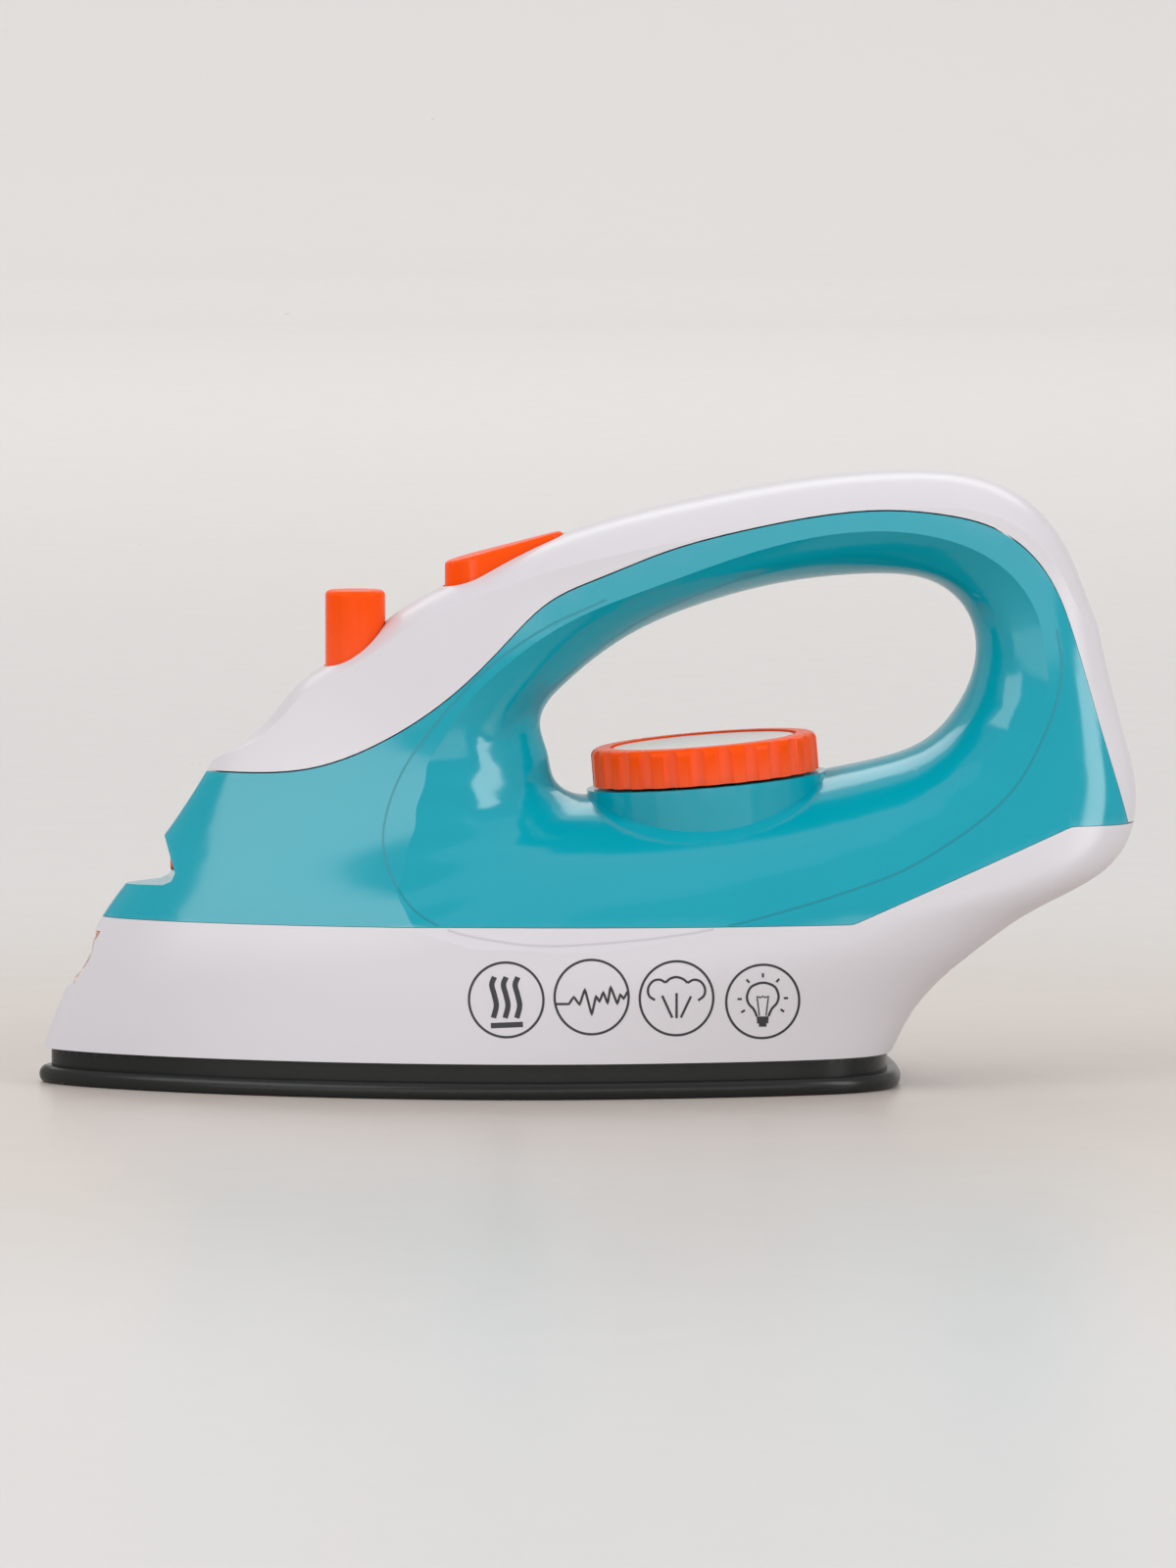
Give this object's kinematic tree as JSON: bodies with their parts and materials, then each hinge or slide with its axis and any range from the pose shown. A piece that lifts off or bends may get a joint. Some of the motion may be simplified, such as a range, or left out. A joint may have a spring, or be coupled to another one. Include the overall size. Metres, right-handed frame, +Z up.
{
  "type": "toy steam iron",
  "caption": "Toy steam iron with a closed loop handle, turning dial, press buttons, spray pump and a battery bay in its sole.",
  "frame": {"origin": "centre of the bounding box in plan, on the surface the sole rests on", "axes": "-X towards the pointed nose, +X towards the heel, -Y towards the left flank, +Z up"},
  "size_m": [0.2299, 0.0948, 0.1277],
  "materials": {
    "white_plastic": "gloss",
    "teal_plastic": "gloss",
    "orange_plastic": "gloss",
    "dark_plastic": "gloss",
    "natural_plastic": "matte",
    "dial_face": "satin",
    "lens": "gloss, translucent",
    "lamp": "gloss, translucent",
    "soft_rubber": "matte",
    "clear_tube": "satin",
    "steel": "bright",
    "board_green": "solder mask",
    "board_black": "matte",
    "cell_jacket": "gloss",
    "wire_red": "matte"
  },
  "bodies": {
    "body": {"soleplate": "dark_plastic", "lower_housing": "white_plastic", "side_shell_left": "teal_plastic", "side_shell_right": "teal_plastic", "top_cover": "white_plastic", "nose_light_lens": "lens", "nose_lamp": "lamp", "lamp_wires": "wire_red", "spray_nozzle": "orange_plastic", "outlet_tube": "clear_tube", "suction_tube": "clear_tube", "water_tank": "natural_plastic", "pump_body": "natural_plastic", "pump_spring": "steel", "trigger_bracket": "natural_plastic", "trigger_spring": "steel", "trigger_switch": "board_black", "trigger_wires": "wire_red", "dial_switch": "board_black", "dial_wires": "wire_red", "main_board": "board_green", "board_parts": "board_black", "board_screws": "steel", "speaker": "board_black", "speaker_clamp": "natural_plastic", "speaker_screws": "steel", "speaker_wires": "wire_red", "battery_box": "natural_plastic", "battery_cells": "cell_jacket", "battery_contacts": "steel", "battery_wires": "wire_red", "shell_screws": "steel", "sole_screws": "steel"},
    "dial": {"dial_knob": "orange_plastic", "dial_insert": "dial_face"},
    "spray_key": {"spray_button": "orange_plastic"},
    "trigger_key": {"trigger": "orange_plastic"},
    "door": {"battery_door": "dark_plastic", "battery_door_screw": "steel"},
    "plug": {"tank_plug": "soft_rubber"}
  },
  "joints": [
    {"name": "dial_turn", "type": "hinge", "parent": "body", "child": "dial", "pos_m": [0.0248, 0, 0.0634], "axis": [-0.0819, 0, 0.9966], "continuous": true},
    {"name": "spray_press", "type": "slide", "parent": "body", "child": "spray_key", "axis": [0, 0, -1], "range_m": [0, 0.005], "stiffness_N_per_m": 400, "springref_m": -0.003, "deforming": ["pump_spring"]},
    {"name": "trigger_press", "type": "hinge", "parent": "body", "child": "trigger_key", "pos_m": [-0.0105, 0, 0.1076], "axis": [0, -1, 0], "range_deg": [0, 7], "stiffness_Nm_per_rad": 0.25, "springref_deg": -8.59, "deforming": ["trigger_spring"]},
    {"name": "battery_door_swing", "type": "hinge", "parent": "body", "child": "door", "pos_m": [-0.0176, 0, 0.0012], "axis": [0, 1, 0], "range_deg": [0, 75]},
    {"name": "plug_pull", "type": "slide", "parent": "body", "child": "plug", "axis": [0, 0, -1], "range_m": [0, 0.009]}
  ]
}
